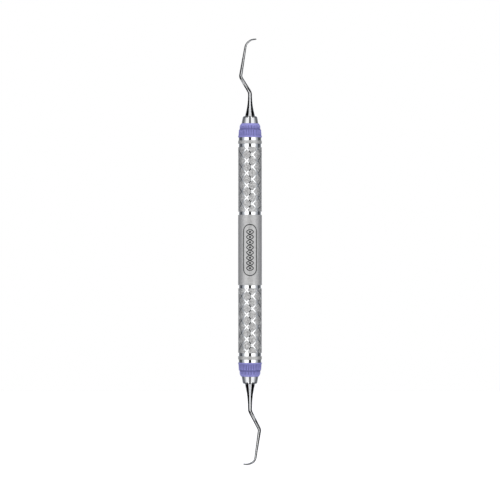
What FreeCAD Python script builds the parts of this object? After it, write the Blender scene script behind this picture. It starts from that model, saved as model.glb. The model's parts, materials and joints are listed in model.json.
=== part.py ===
"""Double-ended hand scaler, in millimetres.

A hollow steel handle holds a turned plug at each end. Each plug carries a silicone colour ring
and a forged working end, whose tang is pressed into the plug. The handle's axis is Z, its middle
is the origin, and both working ends bend in the XZ plane.
"""
import FreeCAD, Part
import math
import os
import Sketcher

SIZES = {
    # handle tube, outside
    "handle_diameter": 9.5,
    "tube_wall": 0.9,
    "band_length": 28.1,
    "inner_neck_length": 1.3,
    "inner_neck_depth": 0.35,
    "grip_length": 25.85,
    "grip_depth": 0.05,
    "outer_neck_length": 1.3,
    "outer_neck_depth": 0.3,
    # diamond pads of the grip, between crossing helical channels
    "channel_depth": 0.16,
    "channel_width": 0.5,
    "diamond_height": 4.91,
    "lattice_turn": 13.0,
    # end plugs
    "spigot_length": 12.0,
    "spigot_lead": 0.5,
    "flange_length": 1.3,
    "flange_depth": 0.025,
    "flange_round": 0.15,
    "plug_neck_length": 1.3,
    "plug_neck_depth": 0.2,
    "seat_depth": 1.45,
    "nose_lip": 0.075,
    "nose_length": 2.95,
    "nose_taper": 0.525,
    "nose_round": 0.65,
    # silicone colour rings
    "ring_lip_length": 0.6,
    "ring_tier_length": 2.4,
    "ring_tier_depth": 0.125,
    "ring_tier_taper": 0.15,
    "ring_step_length": 0.3,
    "ring_step_depth": 0.325,
    "ring_top_length": 1.3,
    "ring_round_length": 1.0,
    "ring_round_depth": 0.6,
    "rib_gap_width": 0.22,
    "rib_gap_depth": 0.12,
    # working ends
    "tang_diameter": 2.6,
    "tang_length": 8.8,
    "tang_chamfer": 0.3,
    "tang_bore_spare": 0.2,
    "shank_root_diameter": 4.1,
    "shank_diameter": 1.6,
    "elbow_diameter": 1.3,
    "neck_diameter": 0.88,
    "toe_diameter": 0.62,
    "face_rise": 0.28,
    "first_bend_radius": 3.0,
    "second_bend_radius": 2.2,
    # where each working end bends
    "upper_straight": 9.4,
    "upper_first_turn": 31.0,
    "upper_oblique": 7.4,
    "upper_second_turn": 40.3,
    "upper_terminal": 11.8,
    "upper_heel_radius": 3.93,
    "upper_heel_turn": 36.9,
    "upper_toe_radius": 4.34,
    "upper_toe_turn": 48.0,
    "lower_straight": 10.85,
    "lower_first_turn": 27.1,
    "lower_oblique": 8.45,
    "lower_second_turn": 35.5,
    "lower_terminal": 11.4,
    "lower_heel_radius": 2.56,
    "lower_heel_turn": 50.5,
    "lower_toe_radius": 4.97,
    "lower_toe_turn": 44.0,
    "face_tilt": 20.0,
}

CHANNEL_STARTS = 6
RIB_COUNT = 40
PAD_OVERRUN = 0.05    # how far a pad's bar starts outside the bore, and ends outside the handle


class Size:
    """A length with its value now and the expression that gives it from the sheet."""

    def __init__(self, value, text):
        self.value = value
        self.text = text

    def _join(self, other, sign, value):
        return Size(value, f"({self.text} {sign} {as_size(other).text})")

    def __add__(self, other):
        return self._join(other, "+", self.value + as_size(other).value)

    def __sub__(self, other):
        return self._join(other, "-", self.value - as_size(other).value)

    def __mul__(self, other):
        return self._join(other, "*", self.value * as_size(other).value)

    def __truediv__(self, other):
        return self._join(other, "/", self.value / as_size(other).value)


def as_size(number):
    """Give a plain number the form of a Size."""
    return number if isinstance(number, Size) else Size(float(number), repr(float(number)))


def size(name):
    """One driving dimension, bound to its cell."""
    return Size(SIZES[name], f"<<Sizes>>.{name}")


def make_sheet(doc):
    """The spreadsheet of driving dimensions, one row each."""
    sheet = doc.addObject("Spreadsheet::Sheet", "Sizes")
    sheet.Label = "Sizes"
    for row, (name, value) in enumerate(SIZES.items(), start=1):
        sheet.set(f"A{row}", name)
        sheet.set(f"B{row}", str(value))
        sheet.setAlias(f"B{row}", name)
    doc.recompute()


def make_body(doc, label):
    """An empty body under the name of its piece."""
    body = doc.addObject("PartDesign::Body", label)
    body.Label = label
    return body


def origin_part(body, role):
    """One plane or axis of the body's own origin."""
    return next(part for part in body.Origin.OriginFeatures if part.Role == role)


def make_sketch(body, name, role, offset=None):
    """An empty sketch on one of the body's own planes."""
    sketch = body.newObject("Sketcher::SketchObject", name)
    sketch.AttachmentSupport = [(origin_part(body, role), "")]
    sketch.MapMode = "FlatFace"
    if offset is not None:
        sketch.AttachmentOffset = offset
    return sketch


def bind(sketch, index, length):
    """Bind the sketch's constraint of that index to the sheet."""
    sketch.setExpression(f"Constraints[{index}]", length.text)


def hold_point(sketch, line, corner, end=1):
    """Fix one end of a line or arc at corner = (across, up), with both bound to the sheet."""
    for kind, axis, length in (("DistanceX", -2, corner[0]), ("DistanceY", -1, corner[1])):
        if length.value == 0:
            sketch.addConstraint(Sketcher.Constraint("PointOnObject", line, end, axis))
        elif length.value > 0:
            index = sketch.addConstraint(
                Sketcher.Constraint(kind, -1, 1, line, end, length.value))
            bind(sketch, index, length)
        else:
            index = sketch.addConstraint(
                Sketcher.Constraint(kind, line, end, -1, 1, -length.value))
            bind(sketch, index, as_size(0) - length)


def draw_outline(sketch, corners):
    """Draw a closed outline of straight lines through corners of (across, up)."""
    corners = [(as_size(across), as_size(up)) for across, up in corners]
    points = [FreeCAD.Vector(across.value, up.value, 0) for across, up in corners]
    count = len(points)
    for line in range(count):
        sketch.addGeometry(Part.LineSegment(points[line], points[(line + 1) % count]), False)
    for line in range(count):
        following = (line + 1) % count
        sketch.addConstraint(Sketcher.Constraint("Coincident", line, 2, following, 1))
    for line, corner in enumerate(corners):
        hold_point(sketch, line, corner)


def turn_sketch(body, kind, name, sketch):
    """Turn a sketch about Z, as a Revolution or a Groove."""
    feature = body.newObject(f"PartDesign::{kind}", name)
    feature.Profile = sketch
    feature.ReferenceAxis = (sketch, ["V_Axis"])
    feature.Angle = 360
    body.Document.recompute()


def turn_outline(body, kind, name, corners):
    """Turn an outline of (radius, height) corners about Z."""
    sketch = make_sketch(body, f"{name}_outline", "XZ_Plane")
    draw_outline(sketch, corners)
    turn_sketch(body, kind, name, sketch)


def ring_edges(shape, radius, height):
    """Names of the circular edges of that radius at that height."""
    names = []
    for number, edge in enumerate(shape.Edges, start=1):
        if not isinstance(edge.Curve, Part.Circle):
            continue
        right_place = abs(edge.Curve.Center.z - height.value) < 1e-4
        if right_place and abs(edge.Curve.Radius - radius.value) < 1e-4:
            names.append(f"Edge{number}")
    return names


def soften(body, kind, name, amount, rings):
    """Fillet or chamfer the circular edges at rings of (radius, height)."""
    base = body.Tip
    edges = [edge for radius, height in rings for edge in ring_edges(base.Shape, radius, height)]
    feature = body.newObject(f"PartDesign::{kind}", name)
    feature.Base = (base, edges)
    feature.setExpression("Radius" if kind == "Fillet" else "Size", amount.text)
    body.Document.recompute()


def place(body, height, upside_down=False):
    """Stand the body at its height on the handle's axis, or at the same depth, turned over."""
    if upside_down:
        body.Placement = FreeCAD.Placement(
            FreeCAD.Vector(0, 0, -height.value), FreeCAD.Rotation(FreeCAD.Vector(0, 1, 0), 180))
        body.setExpression("Placement.Base.z", (as_size(0) - height).text)
    else:
        body.Placement = FreeCAD.Placement(FreeCAD.Vector(0, 0, height.value), FreeCAD.Rotation())
        body.setExpression("Placement.Base.z", height.text)


# Radii and heights that more than one piece shares.
handle_radius = size("handle_diameter") / 2
bore_radius = handle_radius - size("tube_wall")
seat_radius = handle_radius - size("seat_depth")
nose_radius = seat_radius + size("nose_lip")
nose_tip_radius = nose_radius - size("nose_taper")
tang_radius = size("tang_diameter") / 2
side_length = size("inner_neck_length") + size("grip_length") + size("outer_neck_length")
tube_half = size("band_length") / 2 + side_length
ring_length = (size("ring_lip_length") + size("ring_tier_length") + size("ring_step_length")
               + size("ring_top_length") + size("ring_round_length"))
seat_height = tube_half + size("flange_length") + size("plug_neck_length")
nose_height = seat_height + ring_length
nose_face = nose_height + size("nose_length")


def tube_steps():
    """The tube's outside from its lower end up, as (radius, height) corners."""
    inner_neck = handle_radius - size("inner_neck_depth")
    outer_neck = handle_radius - size("outer_neck_depth")
    grip = handle_radius - size("grip_depth")
    stretches = [
        (outer_neck, size("outer_neck_length")),
        (grip, size("grip_length")),
        (inner_neck, size("inner_neck_length")),
        (handle_radius, size("band_length")),
        (inner_neck, size("inner_neck_length")),
        (grip, size("grip_length")),
        (outer_neck, size("outer_neck_length")),
    ]
    corners = []
    height = as_size(0)
    for radius, length in stretches:
        corners.append((radius, height))
        height = height + length
        corners.append((radius, height))
    return corners


def diamond_face(radius, height):
    """One diamond of the lattice, facing -Y outside the bore and centred at that height.

    The full diamond spans the pitch both ways; half a channel's width is left off each side.
    """
    half_width = radius * math.sin(math.radians(180 / CHANNEL_STARTS))
    half_height = SIZES["diamond_height"] / 2
    slope = math.hypot(1 / half_width, 1 / half_height)
    kept = 1 - SIZES["channel_width"] / 2 * slope
    depth = bore_radius.value + PAD_OVERRUN
    corners = [FreeCAD.Vector(across * half_width * kept, -depth, height + up * half_height * kept)
               for across, up in ((0, -1), (1, 0), (0, 1), (-1, 0), (0, -1))]
    return Part.Face(Part.makePolygon(corners))


def grip_pads(bottom):
    """The pads of one grip: diamond bars cut to the shell between bore and grip surface."""
    length = SIZES["grip_length"]
    pitch = SIZES["diamond_height"]
    radius = (handle_radius - size("grip_depth")).value
    inner_radius = radius - 2 * SIZES["channel_depth"]
    base = FreeCAD.Vector(0, 0, bottom)
    shell = Part.makeCylinder(radius, length, base).cut(
        Part.makeCylinder(inner_radius, length, base))
    rows = math.ceil(length / pitch)
    reach = FreeCAD.Vector(0, bore_radius.value - handle_radius.value - 2 * PAD_OVERRUN, 0)
    pads = []
    for row_count, turn in ((rows, 0.0), (rows + 1, 180 / CHANNEL_STARTS)):
        for row in range(row_count):
            height = bottom + length / 2 + (row - (row_count - 1) / 2) * pitch
            bar = diamond_face(radius, height).extrude(reach)
            for start in range(CHANNEL_STARTS):
                angle = SIZES["lattice_turn"] + turn + start * 360 / CHANNEL_STARTS
                turned = bar.rotated(FreeCAD.Vector(), FreeCAD.Vector(0, 0, 1), angle)
                pads += turned.common(shell).Solids
    return pads


def make_handle_tube(doc):
    """Hollow tube: smooth band, two grips with diamond pads, and polished necks between.

    The turned core goes down to the channels' floor at each grip, and the pads stand on it.
    """
    core = make_body(doc, "tube_core")
    steps = tube_steps()
    full_length = steps[-1][1]
    root_radius = handle_radius - size("grip_depth") - size("channel_depth")
    grip_corners = (2, 3, 10, 11)
    outline = [(root_radius if number in grip_corners else radius, height)
               for number, (radius, height) in enumerate(steps)]
    turn_outline(core, "Revolution", "turning",
                 outline + [(bore_radius, full_length), (bore_radius, as_size(0))])
    pads = doc.addObject("Part::Feature", "grip_pads")
    pads.Shape = Part.makeCompound(grip_pads(steps[2][1].value) + grip_pads(steps[10][1].value))
    tube = doc.addObject("Part::MultiFuse", "handle_tube")
    tube.Label = "handle_tube"
    tube.Shapes = [core, pads]
    place(tube, as_size(0) - tube_half)
    doc.recompute()
    return tube


def make_end_plug(doc, label, upside_down):
    """Turned plug: spigot in the tube, flange, neck, ring seat, nose, and the tang's bore."""
    body = make_body(doc, label)
    spigot = size("spigot_length")
    flange_radius = handle_radius - size("flange_depth")
    neck_radius = handle_radius - size("plug_neck_depth")
    flange_top = spigot + size("flange_length")
    neck_top = flange_top + size("plug_neck_length")
    seat_top = neck_top + ring_length
    top = seat_top + size("nose_length")
    bore_bottom = top - size("tang_length") - size("tang_bore_spare")
    zero = as_size(0)
    turn_outline(body, "Revolution", "turning", [
        (zero, zero), (bore_radius, zero), (bore_radius, spigot), (flange_radius, spigot),
        (flange_radius, flange_top), (neck_radius, flange_top), (neck_radius, neck_top),
        (seat_radius, neck_top), (seat_radius, seat_top), (nose_radius, seat_top),
        (nose_tip_radius, top), (tang_radius, top), (tang_radius, bore_bottom),
        (zero, bore_bottom)])
    soften(body, "Fillet", "flange_edges", size("flange_round"),
           [(flange_radius, spigot), (flange_radius, flange_top)])
    soften(body, "Fillet", "nose_edge", size("nose_round"), [(nose_tip_radius, top)])
    soften(body, "Chamfer", "spigot_edge", size("spigot_lead"), [(bore_radius, zero)])
    place(body, tube_half - spigot, upside_down)
    return body


def cut_rib_gaps(body, name, floor_radius, low, high):
    """Cut the narrow gaps between the ribs, from floor_radius outwards, between two heights."""
    half_gap = size("rib_gap_width") / 2
    zero = as_size(0)
    outer = handle_radius + 0.5
    sketch = make_sketch(body, f"{name}_outline", "XY_Plane",
                         FreeCAD.Placement(FreeCAD.Vector(0, 0, low.value), FreeCAD.Rotation()))
    sketch.setExpression("AttachmentOffset.Base.z", low.text)
    draw_outline(sketch, [(floor_radius, zero - half_gap), (outer, zero - half_gap),
                          (outer, half_gap), (floor_radius, half_gap)])
    gap = body.newObject("PartDesign::Pocket", name)
    gap.Profile = sketch
    gap.Reversed = True
    gap.setExpression("Length", (high - low).text)
    body.Document.recompute()
    around = body.newObject("PartDesign::PolarPattern", f"{name}_around")
    around.Originals = [gap]
    around.Axis = (origin_part(body, "Z_Axis"), [""])
    around.Angle = 360
    around.Occurrences = RIB_COUNT
    body.Tip = around
    body.Document.recompute()


def make_colour_ring(doc, label, upside_down):
    """Silicone ring on the plug's seat: plain lip, two ribbed tiers and a rounded top."""
    body = make_body(doc, label)
    zero = as_size(0)
    lip_top = size("ring_lip_length")
    tier_radius = handle_radius - size("ring_tier_depth")
    tier_top = lip_top + size("ring_tier_length")
    tier_top_radius = tier_radius - size("ring_tier_taper")
    step_top = tier_top + size("ring_step_length")
    step_radius = tier_top_radius - size("ring_step_depth")
    round_start = step_top + size("ring_top_length")
    top_radius = step_radius - size("ring_round_depth")
    turn_outline(body, "Revolution", "moulding", [
        (seat_radius, zero), (handle_radius, zero), (handle_radius, lip_top),
        (tier_radius, lip_top), (tier_top_radius, tier_top), (step_radius, step_top),
        (step_radius, round_start), (top_radius, ring_length), (seat_radius, ring_length)])
    gap_depth = size("rib_gap_depth")
    cut_rib_gaps(body, "lower_gap", tier_top_radius - gap_depth, lip_top, tier_top)
    cut_rib_gaps(body, "upper_gap", step_radius - gap_depth, step_top, round_start)
    place(body, seat_height, upside_down)
    return body


def bend_tangent(radius, turn):
    """How far a bend reaches along each of its runs, for a radius and a turn in degrees."""
    reach = radius.value * math.tan(math.radians(turn.value / 2))
    return Size(reach, f"({radius.text} * tan({turn.text} / 2))")


def straight_length(side):
    """The straight part of a shank, from the nose face to where its first bend starts."""
    reach = bend_tangent(size("first_bend_radius"), size(f"{side}_first_turn"))
    return size(f"{side}_straight") - reach


def bend_plan(side):
    """The bent part's stretches as (name, bend radius or None, turn or length, pieces).

    A turn is in degrees, from +Z towards +X. A straight run has no bend radius.
    """
    first_turn, second_turn = size(f"{side}_first_turn"), size(f"{side}_second_turn")
    first_reach = bend_tangent(size("first_bend_radius"), first_turn)
    second_reach = bend_tangent(size("second_bend_radius"), second_turn)
    oblique = size(f"{side}_oblique") - first_reach - second_reach
    terminal = size(f"{side}_terminal") - second_reach
    return [
        ("first_bend", SIZES["first_bend_radius"], -first_turn.value, 3),
        ("oblique_run", None, oblique.value, 1),
        ("second_bend", SIZES["second_bend_radius"], second_turn.value, 4),
        ("terminal_run", None, terminal.value, 1),
        ("heel", SIZES[f"{side}_heel_radius"], SIZES[f"{side}_heel_turn"], 4),
        ("toe", SIZES[f"{side}_toe_radius"], SIZES[f"{side}_toe_turn"], 6),
    ]


def walk_centreline(side):
    """Each stretch's stations, as (across, up from the nose face, lean in degrees, distance)."""
    station = (0.0, straight_length(side).value, 0.0, 0.0)
    stretches = {}
    for name, radius, amount, pieces in bend_plan(side):
        stations = [station]
        for _ in range(pieces):
            across, up, lean, distance = station
            turn = 0.0 if radius is None else amount / pieces
            step = amount / pieces if radius is None else radius * math.radians(abs(turn))
            half_turn = math.radians(turn) / 2
            chord = step if turn == 0 else step * math.sin(half_turn) / half_turn
            heading = math.radians(lean) + half_turn
            station = (across + chord * math.sin(heading), up + chord * math.cos(heading),
                       lean + turn, distance + step)
            stations.append(station)
        stretches[name] = stations
    return stretches


def section_shape(distance, stretches):
    """Half width and face rise of the section at a distance along the bent part.

    The shank narrows evenly to its elbow, then to the neck of the blade. The face flattens over
    the heel, and the blade narrows slowly, then faster, to its toe.
    """
    elbow_at = stretches["second_bend"][-1][3]
    neck_at = stretches["terminal_run"][-1][3]
    heel_at = stretches["heel"][-1][3]
    toe_at = stretches["toe"][-1][3]
    shank, elbow = SIZES["shank_diameter"] / 2, SIZES["elbow_diameter"] / 2
    neck, toe = SIZES["neck_diameter"] / 2, SIZES["toe_diameter"] / 2
    if distance <= elbow_at:
        half_width = shank + (elbow - shank) * distance / elbow_at
        return half_width, half_width
    if distance <= neck_at:
        half_width = elbow + (neck - elbow) * (distance - elbow_at) / (neck_at - elbow_at)
        return half_width, half_width
    toe_share = max(0.0, (distance - heel_at) / (toe_at - heel_at))
    half_width = neck + (toe - neck) * toe_share ** 2
    flatness = min(1.0, (distance - neck_at) / (heel_at - neck_at))
    flat_rise = SIZES["face_rise"] * half_width / neck
    return half_width, half_width + (flat_rise - half_width) * flatness


def draw_section(body, name, station, stretches, tilt_sign):
    """Draw a section of two arcs: a half circle on the back, and the face on the hook's inside.

    Where the face rises by the half width, the section is a full circle.
    """
    across, up, lean, distance = station
    half_width, rise = section_shape(distance, stretches)
    tilt = tilt_sign * SIZES["face_tilt"] * (1 - rise / half_width)
    leaning = FreeCAD.Rotation(FreeCAD.Vector(0, 1, 0), lean)
    turned = FreeCAD.Rotation(FreeCAD.Vector(0, 0, 1), tilt)
    offset = FreeCAD.Placement(FreeCAD.Vector(across, 0, up + SIZES["tang_length"]),
                               leaning * turned)
    sketch = make_sketch(body, name, "XY_Plane", offset)
    near = FreeCAD.Vector(0, -half_width, 0)
    far = FreeCAD.Vector(0, half_width, 0)
    sketch.addGeometry(Part.Arc(far, FreeCAD.Vector(-half_width, 0, 0), near), False)
    sketch.addGeometry(Part.Arc(near, FreeCAD.Vector(rise, 0, 0), far), False)
    return sketch


def draw_root(body, side):
    """Draw half of the shank's root: an arc that sweeps in from the nose to the thin shank."""
    root_radius = size("shank_root_diameter") / 2
    shank_radius = size("shank_diameter") / 2
    low, length = size("tang_length"), straight_length(side)
    high = low + length
    inset = root_radius.value - shank_radius.value
    sweep = (length.value ** 2 + inset ** 2) / (2 * inset)
    half_angle = math.asin(length.value / sweep) / 2
    middle = FreeCAD.Vector(shank_radius.value + sweep * (1 - math.cos(half_angle)),
                            high.value - sweep * math.sin(half_angle), 0)
    axis_low = FreeCAD.Vector(0, low.value, 0)
    wide = FreeCAD.Vector(root_radius.value, low.value, 0)
    thin = FreeCAD.Vector(shank_radius.value, high.value, 0)
    axis_high = FreeCAD.Vector(0, high.value, 0)
    sketch = make_sketch(body, "root_outline", "XZ_Plane")
    sketch.addGeometry(Part.LineSegment(axis_low, wide), False)
    sketch.addGeometry(Part.Arc(thin, middle, wide), False)
    sketch.addGeometry(Part.LineSegment(thin, axis_high), False)
    sketch.addGeometry(Part.LineSegment(axis_high, axis_low), False)
    for first, first_end, second, second_end in ((0, 2, 1, 2), (1, 1, 2, 1), (2, 2, 3, 1),
                                                 (3, 2, 0, 1)):
        sketch.addConstraint(
            Sketcher.Constraint("Coincident", first, first_end, second, second_end))
    zero = as_size(0)
    hold_point(sketch, 0, (zero, low))
    hold_point(sketch, 0, (root_radius, low), 2)
    hold_point(sketch, 1, (shank_radius, high))
    hold_point(sketch, 3, (zero, high))
    centre = sketch.addConstraint(
        Sketcher.Constraint("DistanceY", -1, 1, 1, 3, high.value))
    bind(sketch, centre, high)
    return sketch


def make_working_end(doc, label, side, upside_down, tilt_sign):
    """Forged end: tang, swept root, two bends, and a half-moon blade that hooks over to its toe."""
    body = make_body(doc, label)
    zero = as_size(0)
    tang_top = size("tang_length")
    turn_outline(body, "Revolution", "tang", [
        (zero, zero), (tang_radius, zero), (tang_radius, tang_top), (zero, tang_top)])
    soften(body, "Chamfer", "tang_edge", size("tang_chamfer"), [(tang_radius, zero)])
    turn_sketch(body, "Revolution", "root", draw_root(body, side))
    stretches = walk_centreline(side)
    lofts = {name: stretches[name] for name in stretches if name not in ("heel", "toe")}
    lofts["blade"] = stretches["heel"] + stretches["toe"][1:]
    for name, stations in lofts.items():
        sections = [draw_section(body, f"{name}_{number}", station, stretches, tilt_sign)
                    for number, station in enumerate(stations)]
        loft = body.newObject("PartDesign::AdditiveLoft", name)
        loft.Profile = sections[0]
        loft.Sections = sections[1:]
        loft.Ruled = len(sections) == 2
        doc.recompute()
    place(body, nose_face - tang_top, upside_down)
    return body


def check_and_write(doc, bodies):
    """Stop on any failed feature or bad solid, then write one STEP file a piece."""
    doc.recompute()
    for item in doc.Objects:
        if "Invalid" in item.State or "Error" in item.State:
            raise RuntimeError(f"{item.Label} failed: {item.State}")
    for body in bodies:
        shape = body.Shape
        if shape.isNull() or not shape.isValid() or len(shape.Solids) != 1:
            raise RuntimeError(f"{body.Label} is not one valid solid")
    os.makedirs("parts", exist_ok=True)
    for body in bodies:
        body.Shape.exportStep(f"parts/{body.Label}.step")
        box = body.Shape.optimalBoundingBox()
        print(f"{body.Label}: {body.Shape.Volume:.1f} mm3, z {box.ZMin:.2f} to {box.ZMax:.2f}")


def main():
    doc = FreeCAD.newDocument("HandScaler")
    make_sheet(doc)
    bodies = [
        make_handle_tube(doc),
        make_end_plug(doc, "upper_end_plug", False),
        make_end_plug(doc, "lower_end_plug", True),
        make_colour_ring(doc, "upper_colour_ring", False),
        make_colour_ring(doc, "lower_colour_ring", True),
        make_working_end(doc, "upper_working_end", "upper", False, 1),
        make_working_end(doc, "lower_working_end", "lower", True, -1),
    ]
    check_and_write(doc, bodies)


main()
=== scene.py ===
# %% [markdown]
# # A double-ended hand scaler
#
# The real tool is a hollow steel handle with a turned plug at each end. Each plug carries a soft
# colour ring and a thin forged working end. The design, its sizes and its solids come from the
# frame, so this script only gives every piece its finished surface and its finish.

# %% Load the frame
import json
import math
import bpy
import numpy as np
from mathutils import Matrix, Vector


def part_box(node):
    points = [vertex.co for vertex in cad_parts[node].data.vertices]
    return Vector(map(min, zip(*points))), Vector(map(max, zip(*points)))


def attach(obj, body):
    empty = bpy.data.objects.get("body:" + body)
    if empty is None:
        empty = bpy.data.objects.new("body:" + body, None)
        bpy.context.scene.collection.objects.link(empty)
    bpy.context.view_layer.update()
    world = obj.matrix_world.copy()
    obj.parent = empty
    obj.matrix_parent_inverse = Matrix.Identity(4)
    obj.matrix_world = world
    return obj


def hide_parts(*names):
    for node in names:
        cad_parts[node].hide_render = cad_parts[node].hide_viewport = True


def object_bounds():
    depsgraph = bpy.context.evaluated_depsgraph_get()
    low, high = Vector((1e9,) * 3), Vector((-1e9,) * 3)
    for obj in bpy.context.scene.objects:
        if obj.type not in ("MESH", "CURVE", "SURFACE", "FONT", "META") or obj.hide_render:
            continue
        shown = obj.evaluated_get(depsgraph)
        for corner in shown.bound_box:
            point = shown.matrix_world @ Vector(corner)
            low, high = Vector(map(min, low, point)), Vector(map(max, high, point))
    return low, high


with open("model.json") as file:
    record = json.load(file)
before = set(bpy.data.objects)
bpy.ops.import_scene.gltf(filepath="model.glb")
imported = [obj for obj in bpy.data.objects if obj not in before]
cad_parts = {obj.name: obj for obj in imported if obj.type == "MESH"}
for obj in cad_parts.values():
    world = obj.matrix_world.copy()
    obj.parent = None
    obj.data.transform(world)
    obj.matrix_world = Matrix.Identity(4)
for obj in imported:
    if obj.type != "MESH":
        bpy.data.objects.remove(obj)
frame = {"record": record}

cad_low, cad_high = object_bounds()
print("CAD box in mm:", [round(1000 * side, 2) for side in cad_high - cad_low])

# %% [markdown]
# ## Sizes that the pieces share
#
# Everything is in metres. The handle's radius and band length are read from the record's mount,
# and the heights of the seams between pieces are read from the pieces' boxes. Only the walls and
# steps that no box gives are written here, in millimetres times `MM`.

# %% Shared sizes
MM = 0.001
band_mount = next(m for m in frame["record"]["mounts"] if m["name"] == "centre_band")
HANDLE_RADIUS = band_mount["dims"]["r_mm"] * MM
BAND_HALF = band_mount["dims"]["length_mm"] * MM / 2
TUBE_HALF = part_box("handle_tube")[1].z
PLUG_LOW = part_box("upper_end_plug")[0].z
RING_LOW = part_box("upper_colour_ring")[0].z
RING_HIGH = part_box("upper_colour_ring")[1].z
NOSE_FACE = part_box("upper_end_plug")[1].z
TANG_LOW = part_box("upper_working_end")[0].z
TUBE_WALL, RING_SEAT_DEPTH = 0.9 * MM, 1.45 * MM
BORE_RADIUS = HANDLE_RADIUS - TUBE_WALL
SEAT_RADIUS = HANDLE_RADIUS - RING_SEAT_DEPTH
TANG_RADIUS = 1.3 * MM
print(f"handle {2 * TUBE_HALF / MM:.1f} mm long, {2 * HANDLE_RADIUS / MM:.1f} mm across")

# %% [markdown]
# ## One way to make a surface
#
# Every piece is a grid of points: rows run along the piece and columns run round it. A helper
# turns such a grid into a closed mesh. The last column joins the first. At the ends either the
# last row joins the first row, as on a tube with a wall, or a fan closes each end.

# %% A closed mesh from a grid of points


def grid_faces(rows, columns, joined):
    """Quads between neighbouring rows and columns; joined also links the last row to the first."""
    low = np.arange(rows if joined else rows - 1)[:, None]
    column = np.arange(columns)[None, :]
    following = (column + 1) % columns
    high = (low + 1) % rows
    corners = [low * columns + column, low * columns + following,
               high * columns + following, high * columns + column]
    return np.stack(corners, axis=-1).reshape(-1, 4)


def fan_faces(first, columns, centre, facing_up):
    """Triangles from one end row to a centre point."""
    here = first + np.arange(columns)
    following = first + (np.arange(columns) + 1) % columns
    pair = (here, following) if facing_up else (following, here)
    return np.stack([np.full(columns, centre), *pair], axis=-1)


def split_along(quads, relief):
    """Two triangles for each quad, split along the diagonal on which the relief changes less."""
    a, b, c, d = quads.T
    relief = relief.ravel()
    along_ac = np.abs(relief[a] - relief[c]) <= np.abs(relief[b] - relief[d])
    split_ac = np.stack([a, b, c, a, c, d], axis=-1)
    split_bd = np.stack([a, b, d, b, c, d], axis=-1)
    return np.where(along_ac[:, None], split_ac, split_bd).reshape(-1, 3)


def make_piece(name, points, joined, sharp_degrees=40, relief=None):
    """A smooth-shaded mesh object from points[row, column, xyz], with real edges kept sharp.

    relief is a depth for each point, so that the faces fold where the relief does.
    """
    rows, columns = points.shape[:2]
    vertices = points.reshape(-1, 3)
    quads = grid_faces(rows, columns, joined)
    faces = (quads if relief is None else split_along(quads, relief)).tolist()
    if not joined:
        centres = points[[0, -1]].mean(axis=1)
        vertices = np.concatenate([vertices, centres])
        faces += fan_faces(0, columns, rows * columns, False).tolist()
        faces += fan_faces((rows - 1) * columns, columns, rows * columns + 1, True).tolist()
    mesh = bpy.data.meshes.new(name)
    mesh.from_pydata(vertices.tolist(), [], faces)
    mesh.shade_smooth()
    mesh.set_sharp_from_angle(angle=math.radians(sharp_degrees))
    piece = bpy.data.objects.new(name, mesh)
    bpy.context.scene.collection.objects.link(piece)
    mesh.calc_loop_triangles()
    print(f"{name}: {len(vertices)} points, {len(mesh.loop_triangles)} triangles")
    return piece


def store(piece, name, values):
    """Keep one number for each point of the grid in an attribute that a material can read."""
    attribute = piece.data.attributes.new(name, "FLOAT", "POINT")
    full = np.zeros(len(piece.data.vertices), np.float32)
    full[:values.size] = values.ravel()
    full[values.size:] = values.ravel()[-1]
    attribute.data.foreach_set("value", full)


def settle(piece, node):
    """Let the piece stand for its CAD node, and ride where that node rides."""
    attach(piece, "root")
    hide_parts(node)
    return piece


# %% [markdown]
# ## Turned outlines
#
# Handle, plugs and rings are lathe work, so each starts as an outline of (radius, height)
# corners. A real edge is never perfectly sharp, and its tiny round is what catches the light.
# Each corner is therefore swapped for a short curve. Two extra points just outside that curve
# keep the flat stretches beside it shading flat. A corner with no round stays a single point.

# %% Rounded outlines, and turning them
LARGEST_SHARE = 0.42
HOLD = 1.18
SAME_PLACE = 1e-9


def round_corners(corners, rounds, steps=5, closed=True):
    """Swap each corner for a curve that starts and ends at its round's distance from the corner.

    The curve is a parabola: point = (1-t)^2 start + 2 t (1-t) corner + t^2 end. A round never
    takes more than LARGEST_SHARE of the shorter side beside it, and the points that hold the flat
    stretches stand HOLD rounds from the corner. Rows at the same place are kept once, except in a
    closed outline, where every corner gives the same number of rows.
    """
    corners = np.asarray(corners, float)
    rounds = np.broadcast_to(rounds, len(corners)).astype(float)
    before = np.roll(corners, 1, axis=0) - corners
    after = np.roll(corners, -1, axis=0) - corners
    length_before = np.linalg.norm(before, axis=1)
    length_after = np.linalg.norm(after, axis=1)
    if not closed:
        length_before[0] = length_after[0]
        length_after[-1] = length_before[-1]
    reach = np.minimum(rounds, LARGEST_SHARE * np.minimum(length_before, length_after))
    toward_before = before / length_before[:, None]
    toward_after = after / length_after[:, None]
    start = corners + toward_before * reach[:, None]
    end = corners + toward_after * reach[:, None]
    t = np.linspace(0, 1, steps)[None, :, None]
    curve = ((1 - t) ** 2 * start[:, None] + 2 * t * (1 - t) * corners[:, None]
             + t ** 2 * end[:, None])
    hold_start = corners + toward_before * (HOLD * reach)[:, None]
    hold_end = corners + toward_after * (HOLD * reach)[:, None]
    every = np.concatenate([hold_start[:, None], curve, hold_end[:, None]], axis=1)
    if closed:
        return every.reshape(-1, 2)
    outline = np.concatenate([corners[:1], every[1:-1].reshape(-1, 2), corners[-1:]])
    step_length = np.linalg.norm(np.diff(outline, axis=0), axis=1)
    return outline[np.append(True, step_length > SAME_PLACE)]


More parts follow.
